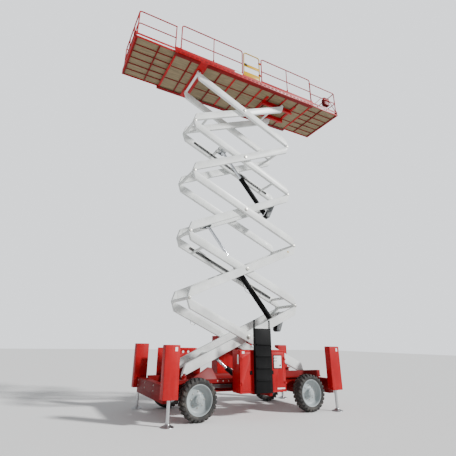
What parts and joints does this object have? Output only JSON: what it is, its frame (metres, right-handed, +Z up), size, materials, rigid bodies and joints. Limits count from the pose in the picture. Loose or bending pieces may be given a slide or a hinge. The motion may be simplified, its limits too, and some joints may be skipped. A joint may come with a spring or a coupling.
{
  "type": "rough-terrain scissor lift",
  "caption": "Raised self-propelled work platform on a scissor stack over a wheeled chassis with jack legs, roll-out deck ends, guard rails and a swing gate.",
  "frame": {"origin": "on the floor, under the middle of the whole raised machine's box", "axes": "+Z up, +X along the machine towards the steered wheels, +Y across it towards the engine side"},
  "size_m": [8.54, 2.707, 11.7796],
  "materials": {
    "red_paint": "gloss machinery red, lightly worn on edges",
    "chassis_paint": "darker, duller machinery red",
    "arm_paint": "off-white satin paint",
    "black_paint": "satin black paint",
    "bright_steel": "ground and hard-chromed steel",
    "gate_paint": "safety yellow paint",
    "tyre_rubber": "dull black rubber",
    "rim_paint": "light grey paint",
    "engine_iron": "dark cast iron"
  },
  "bodies": {
    "chassis": {"chassis_frame": "chassis_paint", "near_side_box": "red_paint", "far_side_box": "red_paint", "far_side_panel": "red_paint", "engine_block": "engine_iron", "access_ladder": "black_paint", "rear_axle": "chassis_paint", "steering_axle": "chassis_paint", "near_left_outrigger": "red_paint", "near_right_outrigger": "red_paint", "far_left_outrigger": "red_paint", "far_right_outrigger": "red_paint"},
    "stage_1_inner_arms": {"stage_1_inner_arms": "arm_paint"},
    "stage_1_outer_arms": {"stage_1_outer_arms": "arm_paint"},
    "stage_2_inner_arms": {"stage_2_inner_arms": "arm_paint"},
    "stage_2_outer_arms": {"stage_2_outer_arms": "arm_paint"},
    "stage_3_inner_arms": {"stage_3_inner_arms": "arm_paint"},
    "stage_3_outer_arms": {"stage_3_outer_arms": "arm_paint"},
    "stage_4_inner_arms": {"stage_4_inner_arms": "arm_paint"},
    "stage_4_outer_arms": {"stage_4_outer_arms": "arm_paint"},
    "stage_5_inner_arms": {"stage_5_inner_arms": "arm_paint"},
    "stage_5_outer_arms": {"stage_5_outer_arms": "arm_paint"},
    "base_cylinder_barrel": {"base_cylinder_barrel": "black_paint"},
    "base_cylinder_rod": {"base_cylinder_rod": "bright_steel"},
    "lower_cylinder_barrel": {"lower_cylinder_barrel": "black_paint"},
    "lower_cylinder_rod": {"lower_cylinder_rod": "bright_steel"},
    "upper_cylinder_barrel": {"upper_cylinder_barrel": "black_paint"},
    "upper_cylinder_rod": {"upper_cylinder_rod": "bright_steel"},
    "near_left_door": {"near_left_door": "red_paint"},
    "near_right_door": {"near_right_door": "red_paint"},
    "far_door": {"far_door": "red_paint"},
    "near_steering_knuckle": {"near_steering_knuckle": "engine_iron"},
    "far_steering_knuckle": {"far_steering_knuckle": "engine_iron"},
    "near_rear_wheel": {"near_rear_tyre": "tyre_rubber", "near_rear_rim": "rim_paint"},
    "near_front_wheel": {"near_front_tyre": "tyre_rubber", "near_front_rim": "rim_paint"},
    "near_left_jack_leg": {"near_left_jack_leg": "bright_steel"},
    "near_right_jack_leg": {"near_right_jack_leg": "bright_steel"},
    "far_rear_wheel": {"far_rear_tyre": "tyre_rubber", "far_rear_rim": "rim_paint"},
    "far_front_wheel": {"far_front_tyre": "tyre_rubber", "far_front_rim": "rim_paint"},
    "far_left_jack_leg": {"far_left_jack_leg": "bright_steel"},
    "far_right_jack_leg": {"far_right_jack_leg": "bright_steel"},
    "platform": {"main_deck": "red_paint", "near_left_rail": "red_paint", "near_right_rail": "red_paint", "far_rail": "red_paint"},
    "gate": {"gate": "gate_paint"},
    "left_end": {"left_end_deck": "red_paint", "left_end_rail": "red_paint"},
    "right_end": {"right_end_deck": "red_paint", "right_end_rail": "red_paint", "control_box": "chassis_paint"}
  },
  "joints": [
    {"name": "lift", "type": "hinge", "parent": "chassis", "child": "stage_1_inner_arms", "pos_m": [-1.94117, 0, 0.901], "axis": [0, -1, 0], "range_deg": [-23.87, 15.63]},
    {"name": "stage_1_scissor", "type": "hinge", "parent": "stage_1_inner_arms", "child": "stage_1_outer_arms", "pos_m": [-0.11, 0, 1.84897], "axis": [0, -1, 0], "range_deg": [-31.31, 47.79]},
    {"name": "stage_2_foot", "type": "hinge", "parent": "stage_1_outer_arms", "child": "stage_2_outer_arms", "pos_m": [-1.94117, 0, 2.79695], "axis": [0, -1, 0], "range_deg": [-47.79, 31.31]},
    {"name": "stage_2_scissor", "type": "hinge", "parent": "stage_2_outer_arms", "child": "stage_2_inner_arms", "pos_m": [-0.11, 0, 3.74492], "axis": [0, -1, 0], "range_deg": [-31.31, 47.79]},
    {"name": "stage_3_foot", "type": "hinge", "parent": "stage_2_inner_arms", "child": "stage_3_inner_arms", "pos_m": [-1.94117, 0, 4.69289], "axis": [0, -1, 0], "range_deg": [-47.79, 31.31]},
    {"name": "stage_3_scissor", "type": "hinge", "parent": "stage_3_inner_arms", "child": "stage_3_outer_arms", "pos_m": [-0.11, 0, 5.64087], "axis": [0, -1, 0], "range_deg": [-31.31, 47.79]},
    {"name": "stage_4_foot", "type": "hinge", "parent": "stage_3_outer_arms", "child": "stage_4_outer_arms", "pos_m": [-1.94117, 0, 6.58884], "axis": [0, -1, 0], "range_deg": [-47.79, 31.31]},
    {"name": "stage_4_scissor", "type": "hinge", "parent": "stage_4_outer_arms", "child": "stage_4_inner_arms", "pos_m": [-0.11, 0, 7.53681], "axis": [0, -1, 0], "range_deg": [-31.31, 47.79]},
    {"name": "stage_5_foot", "type": "hinge", "parent": "stage_4_inner_arms", "child": "stage_5_inner_arms", "pos_m": [-1.94117, 0, 8.48479], "axis": [0, -1, 0], "range_deg": [-47.79, 31.31]},
    {"name": "stage_5_scissor", "type": "hinge", "parent": "stage_5_inner_arms", "child": "stage_5_outer_arms", "pos_m": [-0.11, 0, 9.43276], "axis": [0, -1, 0], "range_deg": [-31.31, 47.79]},
    {"name": "platform_foot", "type": "hinge", "parent": "stage_5_outer_arms", "child": "platform", "pos_m": [-1.94117, 0, 10.38073], "axis": [0, -1, 0], "range_deg": [-23.92, 15.68]},
    {"name": "base_cylinder_swing", "type": "hinge", "parent": "chassis", "child": "base_cylinder_barrel", "pos_m": [0.38, 0, 0.424], "axis": [0, -1, 0], "range_deg": [-7.55, 11.51]},
    {"name": "base_cylinder_stroke", "type": "slide", "parent": "base_cylinder_barrel", "child": "base_cylinder_rod", "axis": [-0.8091, 0, 0.5877], "range_m": [-0.3353, 0.2202]},
    {"name": "lower_cylinder_swing", "type": "hinge", "parent": "stage_1_inner_arms", "child": "lower_cylinder_barrel", "pos_m": [1.33556, 0, 2.10186], "axis": [0, -1, 0], "range_deg": [-32.56, 49.7]},
    {"name": "lower_cylinder_stroke", "type": "slide", "parent": "lower_cylinder_barrel", "child": "lower_cylinder_rod", "axis": [-0.6396, 0, 0.7687], "range_m": [-1.206, 0.7904]},
    {"name": "upper_cylinder_swing", "type": "hinge", "parent": "stage_3_inner_arms", "child": "upper_cylinder_barrel", "pos_m": [1.10435, 0, 5.79658], "axis": [0, -1, 0], "range_deg": [-30.53, 46.6]},
    {"name": "upper_cylinder_stroke", "type": "slide", "parent": "upper_cylinder_barrel", "child": "upper_cylinder_rod", "axis": [-0.6439, 0, 0.7651], "range_m": [-0.7769, 0.5094]},
    {"name": "near_left_door_hinge", "type": "hinge", "parent": "chassis", "child": "near_left_door", "pos_m": [-0.68, -1.16, 0.54], "axis": [0, 0, -1], "range_deg": [0, 110]},
    {"name": "near_right_door_hinge", "type": "hinge", "parent": "chassis", "child": "near_right_door", "pos_m": [0.66, -1.16, 0.54], "axis": [0, 0, 1], "range_deg": [0, 110]},
    {"name": "far_door_hinge", "type": "hinge", "parent": "chassis", "child": "far_door", "pos_m": [-0.32, 1.16, 0.54], "axis": [0, 0, 1], "range_deg": [0, 110]},
    {"name": "near_steering", "type": "hinge", "parent": "chassis", "child": "near_steering_knuckle", "pos_m": [1.567, -0.74, 0.46], "axis": [0, 0, 1], "range_deg": [-25, 25]},
    {"name": "far_steering", "type": "hinge", "parent": "chassis", "child": "far_steering_knuckle", "pos_m": [1.567, 0.74, 0.46], "axis": [0, 0, 1], "range_deg": [-25.05, 25.05]},
    {"name": "near_rear_wheel_spin", "type": "hinge", "parent": "chassis", "child": "near_rear_wheel", "pos_m": [-1.787, -1.001, 0.46], "axis": [0, 1, 0], "continuous": true},
    {"name": "near_front_wheel_spin", "type": "hinge", "parent": "near_steering_knuckle", "child": "near_front_wheel", "pos_m": [1.567, -1.001, 0.46], "axis": [0, 1, 0], "continuous": true},
    {"name": "far_rear_wheel_spin", "type": "hinge", "parent": "chassis", "child": "far_rear_wheel", "pos_m": [-1.787, 1.001, 0.46], "axis": [0, 1, 0], "continuous": true},
    {"name": "far_front_wheel_spin", "type": "hinge", "parent": "far_steering_knuckle", "child": "far_front_wheel", "pos_m": [1.567, 1.001, 0.46], "axis": [0, 1, 0], "continuous": true},
    {"name": "near_left_jack", "type": "slide", "parent": "chassis", "child": "near_left_jack_leg", "axis": [0, 0, 1], "range_m": [0, 0.42]},
    {"name": "near_right_jack", "type": "slide", "parent": "chassis", "child": "near_right_jack_leg", "axis": [0, 0, 1], "range_m": [0, 0.42]},
    {"name": "far_left_jack", "type": "slide", "parent": "chassis", "child": "far_left_jack_leg", "axis": [0, 0, 1], "range_m": [0, 0.42]},
    {"name": "far_right_jack", "type": "slide", "parent": "chassis", "child": "far_right_jack_leg", "axis": [0, 0, 1], "range_m": [0, 0.42]},
    {"name": "gate_hinge", "type": "hinge", "parent": "platform", "child": "gate", "pos_m": [0.35, -0.956, 10.6503], "axis": [0, 0, -1], "range_deg": [0, 100]},
    {"name": "left_end_roll", "type": "slide", "parent": "platform", "child": "left_end", "axis": [1, 0, 0], "range_m": [0, 1.24]},
    {"name": "right_end_roll", "type": "slide", "parent": "platform", "child": "right_end", "axis": [-1, 0, 0], "range_m": [0, 1.29]}
  ],
  "couplings": [
    {"joint": "stage_1_scissor", "follows": "lift", "ratio": -2},
    {"joint": "stage_2_foot", "follows": "lift", "ratio": 2},
    {"joint": "stage_2_scissor", "follows": "lift", "ratio": -2},
    {"joint": "stage_3_foot", "follows": "lift", "ratio": 2},
    {"joint": "stage_3_scissor", "follows": "lift", "ratio": -2},
    {"joint": "stage_4_foot", "follows": "lift", "ratio": 2},
    {"joint": "stage_4_scissor", "follows": "lift", "ratio": -2},
    {"joint": "stage_5_foot", "follows": "lift", "ratio": 2},
    {"joint": "stage_5_scissor", "follows": "lift", "ratio": -2},
    {"joint": "platform_foot", "follows": "lift", "ratio": 1},
    {"joint": "base_cylinder_swing", "follows": "lift", "ratio": -0.48},
    {"joint": "base_cylinder_stroke", "follows": "lift", "m_per_rad": 0.8},
    {"joint": "lower_cylinder_swing", "follows": "lift", "ratio": -2.08},
    {"joint": "lower_cylinder_stroke", "follows": "lift", "m_per_rad": 2.89},
    {"joint": "upper_cylinder_swing", "follows": "lift", "ratio": -1.95},
    {"joint": "upper_cylinder_stroke", "follows": "lift", "m_per_rad": 1.86},
    {"joint": "far_steering", "follows": "near_steering", "ratio": 1}
  ]
}
